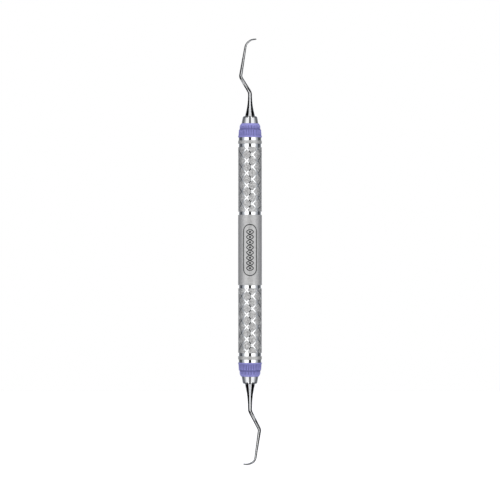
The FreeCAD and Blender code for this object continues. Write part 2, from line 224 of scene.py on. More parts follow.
def turn(outline, columns, first_angle=0.0):
    """Turn (radius, height) rows about Z: x = r sin(angle), y = -r cos(angle), z = height.

    outline is a pair: one radius a row, or radius[row, column], and height[row].
    Angle 0 faces -Y, the side with the marked panel, and grows towards +X.
    """
    radius, height = outline
    angle = first_angle + np.arange(columns) * 2 * math.pi / columns
    radius = np.broadcast_to(radius.reshape(len(height), -1), (len(height), columns))
    level = np.broadcast_to(height[:, None], radius.shape)
    return np.stack([radius * np.sin(angle), -radius * np.cos(angle), level], axis=-1)


def mirrored_end(points):
    """Turn points half a turn about Y, to the other end of the handle."""
    return points * np.array([-1.0, 1.0, -1.0])


# %% [markdown]
# ## The handle tube
#
# The two grips are rolled with a lattice of helical channels: six climb to the left and six to
# the right, and the diamonds between them stay at full height. A bump map can't give the channel
# its dark edge at the outline, so the channels are cut into the mesh itself. The grid's step is
# an even share of a diamond both ways, so every channel runs exactly along the grid's diagonals
# and looks the same from end to end.

# %% Handle sizes
CHANNEL_STARTS = 6
CHANNEL_DEPTH = 0.16 * MM
CHANNEL_FLOOR = 0.386 * MM
CHANNEL_WALL = 0.0966 * MM
DIAMOND_HEIGHT = 4.91 * MM
LATTICE_TURN = math.radians(13.0)
STEPS_PER_DIAMOND = 36
INNER_NECK, OUTER_NECK = 1.3 * MM, 1.3 * MM
TURNED_EDGE = 0.09 * MM
GRIP_RADIUS = HANDLE_RADIUS - 0.05 * MM
INNER_NECK_RADIUS = HANDLE_RADIUS - 0.35 * MM
OUTER_NECK_RADIUS = HANDLE_RADIUS - 0.3 * MM
GRIP_LOW = BAND_HALF + INNER_NECK
GRIP_HIGH = TUBE_HALF - OUTER_NECK
GRIP_MIDDLE = (GRIP_LOW + GRIP_HIGH) / 2
print(f"each grip is {(GRIP_HIGH - GRIP_LOW) / MM:.2f} mm long")

# %% Depth of the channels


def channel_depth(angle, height):
    """How deep the lattice is cut at an angle and a height above the grip's middle.

    a counts diamonds round the handle and b counts them along it. Left-hand channels lie where
    a - b is whole, right-hand ones where a + b is whole. A channel has a flat floor between two
    steep walls, so its depth is full over half the floor's width and then falls in a line.
    """
    a = angle / (2 * math.pi / CHANNEL_STARTS)
    b = height / DIAMOND_HEIGHT
    arc = 2 * math.pi / CHANNEL_STARTS * GRIP_RADIUS
    slope = math.hypot(1 / arc, 1 / DIAMOND_HEIGHT)
    depth = 0.0
    for count in (a - b, a + b):
        distance = np.abs(count - np.round(count)) / slope
        share = np.clip((CHANNEL_FLOOR / 2 + CHANNEL_WALL - distance) / CHANNEL_WALL, 0, 1)
        depth = np.maximum(depth, CHANNEL_DEPTH * share)
    return depth


# %% The handle's outline
upper_side = [
    (HANDLE_RADIUS, BAND_HALF), (INNER_NECK_RADIUS, BAND_HALF), (INNER_NECK_RADIUS, GRIP_LOW),
    (GRIP_RADIUS, GRIP_LOW), (GRIP_RADIUS, GRIP_HIGH), (OUTER_NECK_RADIUS, GRIP_HIGH),
    (OUTER_NECK_RADIUS, TUBE_HALF), (BORE_RADIUS, TUBE_HALF)]
lower_side = [(radius, -height) for radius, height in reversed(upper_side)]
outside = round_corners(lower_side[1:] + upper_side[:-1], TURNED_EDGE, closed=False)
lattice_step = DIAMOND_HEIGHT / STEPS_PER_DIAMOND
CLEAR_STEPS = 1.5
whole_steps = int((GRIP_HIGH - GRIP_LOW) / 2 / lattice_step - CLEAR_STEPS)
lattice_rows = np.arange(-whole_steps, whole_steps + 1) * lattice_step
for middle in (-GRIP_MIDDLE, GRIP_MIDDLE):
    heights = middle + lattice_rows
    new_rows = np.column_stack([np.full(len(heights), GRIP_RADIUS), heights])
    outside = np.insert(outside, np.searchsorted(outside[:, 1], heights), new_rows, axis=0)
bore = round_corners([upper_side[-1], lower_side[0]], 0.0, closed=False)
wall = np.concatenate([outside, bore])
print("the handle's outline has", len(wall), "rows")

# %% The handle's surface
columns = CHANNEL_STARTS * STEPS_PER_DIAMOND
angle = np.arange(columns) * 2 * math.pi / columns
above_middle = np.abs(wall[:, 1]) - GRIP_MIDDLE
sign = np.sign(wall[:, 1])
depth = channel_depth(angle[None, :], (above_middle * sign)[:, None])
in_grip = (wall[:, 0] > OUTER_NECK_RADIUS) & (np.abs(above_middle) <= (GRIP_HIGH - GRIP_LOW) / 2)
in_grip = in_grip[:, None]
cut_radius = np.minimum(wall[:, :1], GRIP_RADIUS - depth)
radius = np.where(in_grip, cut_radius, wall[:, :1])
handle_points = turn((radius, wall[:, 1]), columns, LATTICE_TURN)
handle = make_piece("handle_tube_finished", handle_points, True, relief=np.where(in_grip, depth, 0))

# %% Which parts of the handle are polished
POLISHED_FROM = 1 / 3
NECK_MARGIN = 0.12 * MM
in_neck = (wall[:, 0] < INNER_NECK_RADIUS + NECK_MARGIN)[:, None]
in_channel = np.clip(depth / CHANNEL_DEPTH / POLISHED_FROM, 0, 1)
store(handle, "polish", np.where(in_neck, 1.0, np.where(in_grip, in_channel, 0)))
store(handle, "pad", np.where(in_grip, 1 - in_channel, 0))
settle(handle, "handle_tube")
print("a channel is polished from", round(POLISHED_FROM, 2), "of its depth")

# %% [markdown]
# ## The end plugs
#
# A plug is one turned piece. Its spigot sits in the tube, its flange covers the tube's end, and
# its nose holds the working end. The flange is blasted dull like the handle, while the neck and
# nose are polished, so the script also stores how polished each row is.

# %% Plug sizes
FLANGE_HIGH = TUBE_HALF + 1.3 * MM
FLANGE_RADIUS = HANDLE_RADIUS - 0.025 * MM
PLUG_NECK_RADIUS = HANDLE_RADIUS - 0.2 * MM
NOSE_RADIUS = SEAT_RADIUS + 0.075 * MM
NOSE_TIP_RADIUS = NOSE_RADIUS - 0.525 * MM
BORE_LOW = TANG_LOW - 0.2 * MM
TURNED_COLUMNS = 192
print(f"a plug's nose narrows from {2 * NOSE_RADIUS / MM:.2f} to {2 * NOSE_TIP_RADIUS / MM:.2f} mm")

# %% Both plugs
# Each corner is a radius and a height, with the size of its round in millimetres.
plug_corners = np.array([
    (BORE_RADIUS, PLUG_LOW, 0.0), (BORE_RADIUS, TUBE_HALF, 0.0),
    (FLANGE_RADIUS, TUBE_HALF, 0.18), (FLANGE_RADIUS, FLANGE_HIGH, 0.18),
    (PLUG_NECK_RADIUS, FLANGE_HIGH, 0.05), (PLUG_NECK_RADIUS, RING_LOW, 0.05),
    (SEAT_RADIUS, RING_LOW, 0.05), (SEAT_RADIUS, RING_HIGH, 0.02),
    (NOSE_RADIUS, RING_HIGH, 0.02), (NOSE_TIP_RADIUS, NOSE_FACE, 0.75),
    (TANG_RADIUS, NOSE_FACE, 0.05), (TANG_RADIUS, BORE_LOW, 0.0)])
plug_outline = round_corners(plug_corners[:, :2], plug_corners[:, 2] * MM, 7, closed=False)
dull = (plug_outline[:, 0] > PLUG_NECK_RADIUS + 0.02 * MM) & (plug_outline[:, 1] < FLANGE_HIGH)
plug_points = turn((plug_outline[:, 0], plug_outline[:, 1]), TURNED_COLUMNS)
plug_polish = np.broadcast_to(np.where(dull, 0.0, 1.0)[:, None], plug_points.shape[:2])
for end, points in (("upper", plug_points), ("lower", mirrored_end(plug_points))):
    plug = make_piece(f"{end}_end_plug_finished", points, False)
    store(plug, "polish", plug_polish)
    settle(plug, f"{end}_end_plug")

# %% [markdown]
# ## The colour rings
#
# Each ring is moulded silicone, stretched over the nose into its groove. It has a plain lip at
# the bottom and two tiers of fine ribs, which give fingers a hold. The ribs are a wave round the
# ring whose crests are broader than its valleys, and it fades out at the lip and at the top.

# %% The ring's outline
# Each corner is a step out from the handle's radius, a height above the ring's foot, and a round,
# all in millimetres. A step below zero goes inwards.
ring_corners = np.array([
    (-1.45, 0.0, 0.03), (0.0, 0.0, 0.06), (0.0, 0.6, 0.1), (-0.125, 0.66, 0.05),
    (-0.275, 3.0, 0.1), (-0.6, 3.3, 0.1), (-0.6, 4.6, 0.6), (-1.2, 5.6, 0.12),
    (-1.45, 5.6, 0.03)])
ring_outline = round_corners(
    np.column_stack([HANDLE_RADIUS + ring_corners[:, 0] * MM, RING_LOW + ring_corners[:, 1] * MM]),
    ring_corners[:, 2] * MM, 7)
ring_height = (ring_outline[:, 1] - RING_LOW) / MM
CLEAR_OF_SEAT = 0.3 * MM
on_outside = ring_outline[:, 0] > SEAT_RADIUS + CLEAR_OF_SEAT
print("the ring's outline has", len(ring_outline), "rows")

# %% Ribs, and both rings
RIB_COUNT = 40
RIB_DEPTH = 0.2 * MM
RING_COLUMNS = RIB_COUNT * 12
CREST_BREADTH = 1.4
fade = np.interp(ring_height, [0.64, 0.75, 2.9, 3.1, 3.3, 3.45, 4.5, 5.2],
                 [0, 1, 1, 0.35, 0.35, 1, 1, 0]) * on_outside
# plain_shade is painted shade on the plain lip, the step between the tiers and the top edge.
plain_shade = np.interp(ring_height, [0, 0.5, 0.68, 0.85, 2.85, 3.1, 3.35, 3.6, 4.8, 5.4],
                        [0.25, 0.25, 0.5, 0, 0, 0.75, 0.75, 0, 0, 0.25]) * on_outside
ring_angle = np.arange(RING_COLUMNS) * 2 * math.pi / RING_COLUMNS
between_ribs = (0.5 + 0.5 * np.cos(RIB_COUNT * ring_angle)) ** CREST_BREADTH
valley = fade[:, None] * between_ribs[None, :]
ring_radius = ring_outline[:, :1] - RIB_DEPTH * valley
ring_points = turn((ring_radius, ring_outline[:, 1]), RING_COLUMNS)
for end, points in (("upper", ring_points), ("lower", mirrored_end(ring_points))):
    ring = make_piece(f"{end}_colour_ring_finished", points, True, 60)
    # The stored value is painted shade for the colour: in the rib valleys, at the step, on the lip
    # and top edge.
    store(ring, "shaded", np.maximum(valley, plain_shade[:, None]))
    settle(ring, f"{end}_colour_ring")

# %% [markdown]
# ## The working ends
#
# A working end is one forging: a tang in the plug, a root that sweeps in to a thin shank, two
# bends, and a blade that hooks over. Its centreline is followed by its heading: on a straight
# run the heading stays, and round a bend it changes evenly, so the heading against distance is
# a line of straight pieces. Adding up small steps along it gives the path.
#
# The section starts as a circle. From the neck of the blade on, its inner side flattens into the
# blade's face, which leans to one side: this is the half-moon section of a curette.

# %% The centreline
UPPER_BENDS = dict(straight=9.4, first_turn=31.0, oblique=7.4, second_turn=40.3, terminal=11.8,
                   heel_radius=3.93, heel_turn=36.9, toe_radius=4.34, toe_turn=48.0)
LOWER_BENDS = dict(straight=10.85, first_turn=27.1, oblique=8.45, second_turn=35.5,
                   terminal=11.4, heel_radius=2.56, heel_turn=50.5, toe_radius=4.97,
                   toe_turn=44.0)
FIRST_BEND_RADIUS, SECOND_BEND_RADIUS = 3.0, 2.2


def centreline_marks(bends):
    """Distances in mm from the nose face, and headings in degrees, where the path changes."""
    first_reach = FIRST_BEND_RADIUS * math.tan(math.radians(bends["first_turn"] / 2))
    second_reach = SECOND_BEND_RADIUS * math.tan(math.radians(bends["second_turn"] / 2))
    lengths = np.array([
        bends["straight"] - first_reach,
        FIRST_BEND_RADIUS * math.radians(bends["first_turn"]),
        bends["oblique"] - first_reach - second_reach,
        SECOND_BEND_RADIUS * math.radians(bends["second_turn"]),
        bends["terminal"] - second_reach,
        bends["heel_radius"] * math.radians(bends["heel_turn"]),
        bends["toe_radius"] * math.radians(bends["toe_turn"])])
    turns = np.array([0, -bends["first_turn"], 0, bends["second_turn"], 0,
                      bends["heel_turn"], bends["toe_turn"]])
    return np.append(0, lengths.cumsum()), np.append(0, turns.cumsum())


for end, bends in (("upper", UPPER_BENDS), ("lower", LOWER_BENDS)):
    print(f"the {end} centreline is {centreline_marks(bends)[0][-1]:.1f} mm long")

# %% Width and face along the shank
ROOT_RADIUS, SHANK_RADIUS, ELBOW_RADIUS, NECK_RADIUS, TOE_RADIUS = 2.05, 0.8, 0.65, 0.44, 0.31
FACE_RISE = 0.28
FACE_TILT = 20.0
TOE_ROUND = 0.28
SMALLEST_SHARE = 0.1


def shank_radius(distance, marks):
    """Half width in mm: a swept root, two even tapers, a narrowing blade and a round toe.

    The root is an arc that is parallel to the shank where it ends. The toe's last stretch is a
    quarter circle, stopped at a small share of its width, where a fan closes it.
    """
    straight_end, elbow, neck, heel, toe = marks[1], marks[4], marks[5], marks[6], marks[7]
    inset = ROOT_RADIUS - SHANK_RADIUS
    sweep = (straight_end ** 2 + inset ** 2) / (2 * inset)
    left = np.clip(straight_end - distance, 0, straight_end)
    root = SHANK_RADIUS + sweep - np.sqrt(sweep ** 2 - left ** 2)
    taper = np.interp(distance, [straight_end, elbow, neck],
                      [SHANK_RADIUS, ELBOW_RADIUS, NECK_RADIUS])
    toe_share = np.clip((distance - heel) / (toe - heel), 0, 1)
    blade = NECK_RADIUS + (TOE_RADIUS - NECK_RADIUS) * toe_share ** 2
    radius = np.where(distance < straight_end, root, np.where(distance < neck, taper, blade))
    past = np.clip((distance - (toe - TOE_ROUND)) / TOE_ROUND, 0, 1)
    return radius * np.sqrt(np.clip(1 - past ** 2, SMALLEST_SHARE ** 2, 1))


def face_flatness(distance, marks):
    """0 where the section is round, 1 where its inner side has become the blade's face."""
    share = np.clip((distance - marks[5]) / (marks[6] - marks[5]), 0, 1)
    return share ** 2 * (3 - 2 * share)


# %% Where the sections stand
AROUND = 64
SHANK_STEP, BLADE_STEP = 0.12, 0.06
TOE_STEPS, TOE_ANGLE = 9, 1.52
TANG_CHAMFER = 0.3 * MM


def section_places(marks):
    """Distances in mm of the sections: even along the shank, closer along the blade and toe.

    Round the toe they follow the sine of an even angle that ends just short of a right angle, so
    that they crowd at the tip.
    """
    toe_start = marks[7] - TOE_ROUND
    shank = np.arange(0, marks[5], SHANK_STEP)
    blade = np.arange(marks[5], toe_start - BLADE_STEP / 3, BLADE_STEP)
    toe = toe_start + TOE_ROUND * np.sin(np.linspace(0, TOE_ANGLE, TOE_STEPS))
    return np.concatenate([shank, blade, toe])


def tang_points(angle):
    """The tang in the plug: a chamfered end, then an even cylinder up to the nose face."""
    radius = np.array([TANG_RADIUS - TANG_CHAMFER, TANG_RADIUS, TANG_RADIUS])
    height = np.array([TANG_LOW, TANG_LOW + TANG_CHAMFER, NOSE_FACE])
    circle = np.stack([np.cos(angle), -np.sin(angle)], axis=-1)
    tang = np.empty((len(radius), len(angle), 3))
    tang[..., :2] = radius[:, None, None] * circle
    tang[..., 2] = height[:, None]
    return tang


# %% The working end's surface
FACE_POWER = 0.4


def working_end_points(bends, tilt_sign):
    """Carry the section along the centreline, in metres, for the upper end.

    Round the section, the angle starts at the hook's inner side. A point stands radius * sin
    to the side, and radius * cos inwards; where the face has flattened, the inward part is the
    face's own small rise, held nearly level by a low power of the cosine.
    """
    marks, headings = centreline_marks(bends)
    run = section_places(marks)
    heading = np.radians(np.interp(run, marks, headings))
    step = np.diff(run, prepend=0)
    middle = (heading + np.roll(heading, 1)) / 2
    middle[0] = 0
    across = np.cumsum(np.sin(middle) * step)
    up = np.cumsum(np.cos(middle) * step)
    radius = shank_radius(run, marks)
    flat = face_flatness(run, marks)
    rise = radius * (1 - flat) + FACE_RISE / NECK_RADIUS * radius * flat
    power = 1 - (1 - FACE_POWER) * flat
    angle = np.arange(AROUND) * 2 * math.pi / AROUND
    cosine, sine = np.cos(angle)[None, :], -np.sin(angle)[None, :]
    inner = rise[:, None] * np.abs(cosine) ** power[:, None]
    inward = np.where(cosine > 0, inner, radius[:, None] * cosine)
    sideways = radius[:, None] * sine
    tilt = np.radians(tilt_sign * FACE_TILT * flat)[:, None]
    turned_in = inward * np.cos(tilt) - sideways * np.sin(tilt)
    turned_side = inward * np.sin(tilt) + sideways * np.cos(tilt)
    x = across[:, None] + turned_in * np.cos(heading)[:, None]
    z = up[:, None] - turned_in * np.sin(heading)[:, None]
    bent = np.stack([x * MM, turned_side * MM, NOSE_FACE + z * MM], axis=-1)
    return np.concatenate([tang_points(angle), bent])


# %% Both working ends
upper_points = working_end_points(UPPER_BENDS, 1)
lower_points = mirrored_end(working_end_points(LOWER_BENDS, -1))
for end, points in (("upper", upper_points), ("lower", lower_points)):
    blade = make_piece(f"{end}_working_end_finished", points[:, ::-1], False, 50)
    settle(blade, f"{end}_working_end")

# %% [markdown]
# ## Finishes
#
# Three effects are used by more than one material, so each is a node group with its own inputs:
# a blasted grain, fine polishing lines, and slow cloudiness. A group gives out only numbers, and
# each material's own shader decides what to do with them.

# %% Small helpers for node trees


def new_group(name, inputs, outputs):
    """An empty shader node group with float inputs (name: default), a vector input and outputs."""
    group = bpy.data.node_groups.new(name, "ShaderNodeTree")
    group.interface.new_socket(name="Vector", in_out="INPUT", socket_type="NodeSocketVector")
    for label, default in inputs.items():
        socket = group.interface.new_socket(name=label, in_out="INPUT", socket_type="NodeSocketFloat")
        socket.default_value = default
    for label in outputs:
        group.interface.new_socket(name=label, in_out="OUTPUT", socket_type="NodeSocketFloat")
    return group, group.nodes.new("NodeGroupInput"), group.nodes.new("NodeGroupOutput")


def maths(tree, operation, first, second=None, third=None, clamp=False):
    """A Math node whose inputs are sockets or numbers; gives its output socket."""
    node = tree.nodes.new("ShaderNodeMath")
    node.operation = operation
    node.use_clamp = clamp
    for socket, value in zip(node.inputs, (first, second, third)):
        if isinstance(value, bpy.types.NodeSocket):
            tree.links.new(value, socket)
        elif value is not None:
            socket.default_value = value
    return node.outputs[0]


def remap(tree, value, low, high, new_low=0.0, new_high=1.0):
    """A Map Range node, clamped; gives its output socket."""
    node = tree.nodes.new("ShaderNodeMapRange")
    tree.links.new(value, node.inputs["Value"])
    for label, number in (("From Min", low), ("From Max", high), ("To Min", new_low),
                          ("To Max", new_high)):
        if isinstance(number, bpy.types.NodeSocket):
            tree.links.new(number, node.inputs[label])
        else:
            node.inputs[label].default_value = number
    return node.outputs["Result"]


def noise(tree, vector, scale, detail=2.0, roughness=0.5):
    """A Noise Texture node; gives its value socket."""
    node = tree.nodes.new("ShaderNodeTexNoise")
    tree.links.new(vector, node.inputs["Vector"])
    node.inputs["Detail"].default_value = detail
    node.inputs["Roughness"].default_value = roughness
    if isinstance(scale, bpy.types.NodeSocket):
        tree.links.new(scale, node.inputs["Scale"])
    else:
        node.inputs["Scale"].default_value = scale
    return node.outputs["Fac"]


def mix_colours(tree, share, first, second):
    """A colour Mix node between two colours or sockets; gives its output socket."""
    node = tree.nodes.new("ShaderNodeMix")
    node.data_type = "RGBA"
    tree.links.new(share, node.inputs["Factor"])
    for label, value in (("A", first), ("B", second)):
        socket = next(s for s in node.inputs if s.name == label and s.type == "RGBA")
        if isinstance(value, bpy.types.NodeSocket):
            tree.links.new(value, socket)
        else:
            socket.default_value = (*value, 1.0)
    return next(s for s in node.outputs if s.type == "RGBA")


def new_material(name):
    """A material with one Principled shader; gives the material, its tree and the shader."""
    material = bpy.data.materials.new(name)
    material.use_nodes = True
    tree = material.node_tree
    return material, tree, tree.nodes["Principled BSDF"]


def finish_both(kind, material):
    """Give the upper and the lower piece of one kind their material."""
    for end in ("upper", "lower"):
        bpy.data.objects[f"{end}_{kind}_finished"].data.materials.append(material)


def place_group(tree, group, vector, **values):
    """Put a group in a tree, with its own values."""
    node = tree.nodes.new("ShaderNodeGroup")
    node.node_tree = group
    tree.links.new(vector, node.inputs["Vector"])
    for label, value in values.items():
        node.inputs[label].default_value = value
    return node


def bump(tree, shader, height, distance, strength=1.0):
    """Feed a height, in units of distance, to the shader's normal."""
    node = tree.nodes.new("ShaderNodeBump")
    node.inputs["Strength"].default_value = strength
    node.inputs["Distance"].default_value = distance
    tree.links.new(height, node.inputs["Height"])
    tree.links.new(node.outputs["Normal"], shader.inputs["Normal"])


def object_point(tree):
    """The Object coordinate socket of a new Texture Coordinate node."""
    return tree.nodes.new("ShaderNodeTexCoord").outputs["Object"]


def attribute(tree, name):
    """The value socket of a stored attribute."""
    node = tree.nodes.new("ShaderNodeAttribute")
    node.attribute_name = name
    return node.outputs["Fac"]


# %% Blasted grain, polishing lines and cloudiness


def make_grain_group():
    """Pits of two sizes, as glass beads leave them. Size is in millimetres."""
    group, given, result = new_group("blasted_grain", {"Size": 0.12}, ["Pits"])
    per_metre = maths(group, "DIVIDE", 1000.0, given.outputs["Size"])
    coarse = noise(group, given.outputs["Vector"], per_metre, 3.0, 0.6)
    finer = maths(group, "MULTIPLY", per_metre, 2.7)
    fine = noise(group, given.outputs["Vector"], finer, 2.0, 0.5)
    both = maths(group, "MULTIPLY_ADD", fine, 0.5, maths(group, "MULTIPLY", coarse, 0.5))
    group.links.new(remap(group, both, 0.32, 0.68), result.inputs["Pits"])
    return group


def make_lines_group():
    """Hair-fine lines along one direction: noise whose space is squeezed along the others."""
    inputs = {"Along": 0.02, "Across": 1.0, "Scale": 9000.0}
    group, given, result = new_group("polishing_lines", inputs, ["Lines"])
    split = group.nodes.new("ShaderNodeSeparateXYZ")
    group.links.new(given.outputs["Vector"], split.inputs[0])
    joined = group.nodes.new("ShaderNodeCombineXYZ")
    for axis, share in (("X", "Across"), ("Y", "Across"), ("Z", "Along")):
        group.links.new(maths(group, "MULTIPLY", split.outputs[axis], given.outputs[share]),
                        joined.inputs[axis])
    lines = noise(group, joined.outputs[0], given.outputs["Scale"], 3.0, 0.7)
    group.links.new(remap(group, lines, 0.35, 0.65), result.inputs["Lines"])
    return group


def make_cloud_group():
    """Slow, faint unevenness over several millimetres, as handling and washing leave."""
    group, given, result = new_group("cloudiness", {"Size": 4.0}, ["Cloud"])
    per_metre = maths(group, "DIVIDE", 1000.0, given.outputs["Size"])
    cloud = noise(group, given.outputs["Vector"], per_metre, 4.0, 0.55)
    group.links.new(remap(group, cloud, 0.3, 0.7), result.inputs["Cloud"])
    return group


blasted_grain = make_grain_group()
polishing_lines = make_lines_group()
cloudiness = make_cloud_group()
print("node groups:", blasted_grain.name, polishing_lines.name, cloudiness.name)

# %% [markdown]
# ## Satin and polished steel
#
# Handle and plugs share one recipe: the stored `polish` value mixes a blasted, darker, rough
# steel with a bright, smooth one. Blasting breaks the surface up so finely that part of the light
# scatters as from matt paint, which is why the satin steel isn't fully metallic. The handle's
# stored `pad` value adds a coarser stipple on the diamonds. Only the handle also carries the
# laser-marked panel.

# %% The satin steel's speckle
PIT_SIZE, STIPPLE_SIZE, MOTTLE_SIZE = 0.11, 0.68, 0.7
STIPPLE_CONTRAST, STIPPLE_SHIFT = 2.6, 0.95


def satin_speckle(tree, point, grain, pad):
    """How clean each satin spot is, and the stipple itself.

    Off the pads it is the mean of the grain and a slow mottle. On the pads it is the stipple,
    stretched about its middle.
    """
    mottle = place_group(tree, blasted_grain, point, Size=MOTTLE_SIZE).outputs["Pits"]
    even = maths(tree, "MULTIPLY_ADD", grain, 0.5, maths(tree, "MULTIPLY", mottle, 0.5))
    stipple = place_group(tree, blasted_grain, point, Size=STIPPLE_SIZE).outputs["Pits"]
    stretched = maths(tree, "MULTIPLY", stipple, STIPPLE_CONTRAST)
    stretched = maths(tree, "SUBTRACT", stretched, STIPPLE_SHIFT)
    off_pad = maths(tree, "MULTIPLY", even, maths(tree, "SUBTRACT", 1.0, pad))
    speckle = maths(tree, "ADD", off_pad, maths(tree, "MULTIPLY", stretched, pad), clamp=True)
    return speckle, stipple


# %% The steel recipe
SATIN_METAL, SATIN_DARK = 0.62, 0.52
SATIN_ROUGH, CLOUD_ROUGH, GRAIN_ROUGH = 0.46, 0.05, 0.08
POLISHED_ROUGH, LINE_ROUGH = 0.04, 0.04
GRAIN_HEIGHT = 0.010 * MM
STIPPLE_HEIGHT, LINE_HEIGHT = 1.8, 0.08


def steel_finish(tree, shader, point, polished, satin_colour, polished_colour):
    """Colour, roughness and grain from how polished each spot is; gives the colour socket.

    The stipple and the polishing lines stand STIPPLE_HEIGHT and LINE_HEIGHT times as high as the
    grain.
    """
    grain = place_group(tree, blasted_grain, point, Size=PIT_SIZE).outputs["Pits"]
    lines = place_group(tree, polishing_lines, point, Along=1.0, Across=0.02).outputs["Lines"]
    cloud = place_group(tree, cloudiness, point, Size=5.0).outputs["Cloud"]
    pad = attribute(tree, "pad")
    speckle, stipple = satin_speckle(tree, point, grain, pad)
    satin = mix_colours(tree, speckle, [SATIN_DARK * c for c in satin_colour], satin_colour)
    colour = mix_colours(tree, polished, satin, polished_colour)
    satin_rough = maths(tree, "MULTIPLY_ADD", cloud, CLOUD_ROUGH, SATIN_ROUGH)
    satin_rough = maths(tree, "MULTIPLY_ADD", grain, GRAIN_ROUGH, satin_rough)
    polished_rough = maths(tree, "MULTIPLY_ADD", lines, LINE_ROUGH, POLISHED_ROUGH)
    keep = maths(tree, "SUBTRACT", 1.0, polished)
    polished_part = maths(tree, "MULTIPLY", polished_rough, polished)
    rough = maths(tree, "MULTIPLY_ADD", satin_rough, keep, polished_part)
    tree.links.new(rough, shader.inputs["Roughness"])
    grain_height = maths(tree, "MULTIPLY", grain, keep)
    stipple_height = maths(tree, "MULTIPLY", maths(tree, "MULTIPLY", stipple, pad), STIPPLE_HEIGHT)
    grain_height = maths(tree, "ADD", grain_height, stipple_height)
    line_height = maths(tree, "MULTIPLY", maths(tree, "MULTIPLY", lines, polished), LINE_HEIGHT)
    bump(tree, shader, maths(tree, "ADD", grain_height, line_height), GRAIN_HEIGHT)
    metal = maths(tree, "MULTIPLY_ADD", polished, 1 - SATIN_METAL, SATIN_METAL)
    tree.links.new(metal, shader.inputs["Metallic"])
    return colour


# %% The laser-marked panel
PANEL_HALF_WIDTH, PANEL_HALF_LENGTH = 2.7 * MM, 10.2 * MM
BRAID_WIDTH, BRAID_PITCH, BRAID_SPAN = 1.35 * MM, 4.15 * MM, 8.3 * MM
HALF_LINE, DOT_RADIUS = 0.19 * MM, 0.42 * MM
LINE_EDGE = 0.15


def stroke(tree, distance, half_width):
    """1 inside a line and 0 outside; its edge is soft over LINE_EDGE of the half width each way."""
    inside, outside = half_width * (1 - LINE_EDGE), half_width * (1 + LINE_EDGE)
    return remap(tree, distance, inside, outside, 1.0, 0.0)


def length_of(tree, first, second):
    """sqrt(first^2 + second^2)."""
    squares = maths(tree, "ADD", maths(tree, "MULTIPLY", first, first),
                    maths(tree, "MULTIPLY", second, second))
    return maths(tree, "SQRT", squares)


def panel_mask(tree, point):
    """1 on the marked lines: a stadium outline round a two-strand braid with a dot in each eye.

    Around is the distance round the handle from its front: radius * atan2(x, -y). The stadium is
    every spot at one distance from a short upright line. Each strand is around = +-width *
    sin(2 pi up / pitch), and its distance is divided by sqrt(1 + slope^2) to keep an even line.
    """
    split = tree.nodes.new("ShaderNodeSeparateXYZ")
    tree.links.new(point, split.inputs[0])
    front = maths(tree, "MULTIPLY", split.outputs["Y"], -1.0)
    around = maths(tree, "ARCTAN2", split.outputs["X"], front)
    around = maths(tree, "MULTIPLY", around, HANDLE_RADIUS)
    up = split.outputs["Z"]
    level = maths(tree, "ABSOLUTE", up)
    past_end = maths(tree, "SUBTRACT", level, PANEL_HALF_LENGTH - PANEL_HALF_WIDTH)
    past_end = maths(tree, "MAXIMUM", past_end, 0.0)
    from_outline = maths(tree, "SUBTRACT", length_of(tree, past_end, around), PANEL_HALF_WIDTH)
    outline = stroke(tree, maths(tree, "ABSOLUTE", from_outline), HALF_LINE)
    phase = maths(tree, "MULTIPLY", up, 2 * math.pi / BRAID_PITCH)
    wave = maths(tree, "ABSOLUTE", maths(tree, "MULTIPLY", maths(tree, "SINE", phase), BRAID_WIDTH))
    steepness = 2 * math.pi / BRAID_PITCH * BRAID_WIDTH
    slope = maths(tree, "MULTIPLY", maths(tree, "COSINE", phase), steepness)
    aside = maths(tree, "SUBTRACT", maths(tree, "ABSOLUTE", around), wave)
    from_strand = maths(tree, "DIVIDE", maths(tree, "ABSOLUTE", aside), length_of(tree, slope, 1.0))
    strands = stroke(tree, from_strand, HALF_LINE)
    eye = maths(tree, "FRACT", maths(tree, "DIVIDE", up, BRAID_PITCH / 2))
    from_eye = maths(tree, "MULTIPLY", maths(tree, "SUBTRACT", eye, 0.5), BRAID_PITCH / 2)
    dots = stroke(tree, length_of(tree, from_eye, around), DOT_RADIUS)
    braid = maths(tree, "MULTIPLY", maths(tree, "MAXIMUM", strands, dots),
                  maths(tree, "LESS_THAN", level, BRAID_SPAN))
    return maths(tree, "MAXIMUM", outline, braid)


# %% Handle and plug steel
SATIN_STEEL = (0.74, 0.74, 0.735)
POLISHED_STEEL = (0.68, 0.69, 0.70)
LASER_GREY = (0.03, 0.034, 0.034)

handle_material, tree, shader = new_material("handle_steel_finish")
point = object_point(tree)
polished = attribute(tree, "polish")
steel_colour = steel_finish(tree, shader, point, polished, SATIN_STEEL, POLISHED_STEEL)
marked = mix_colours(tree, panel_mask(tree, point), steel_colour, LASER_GREY)
tree.links.new(marked, shader.inputs["Base Color"])
handle.data.materials.append(handle_material)

plug_material, tree, shader = new_material("plug_steel_finish")
point = object_point(tree)
polished = attribute(tree, "polish")
steel_colour = steel_finish(tree, shader, point, polished, SATIN_STEEL, POLISHED_STEEL)
tree.links.new(steel_colour, shader.inputs["Base Color"])
finish_both("end_plug", plug_material)
print("steel on the handle and both plugs")

# %% [markdown]
# ## Blade steel
#
# The working ends are buffed to a mirror along their length, which leaves hair-fine lines along
# the shank. The lines only change the gloss a little, so the reflections stay crisp.

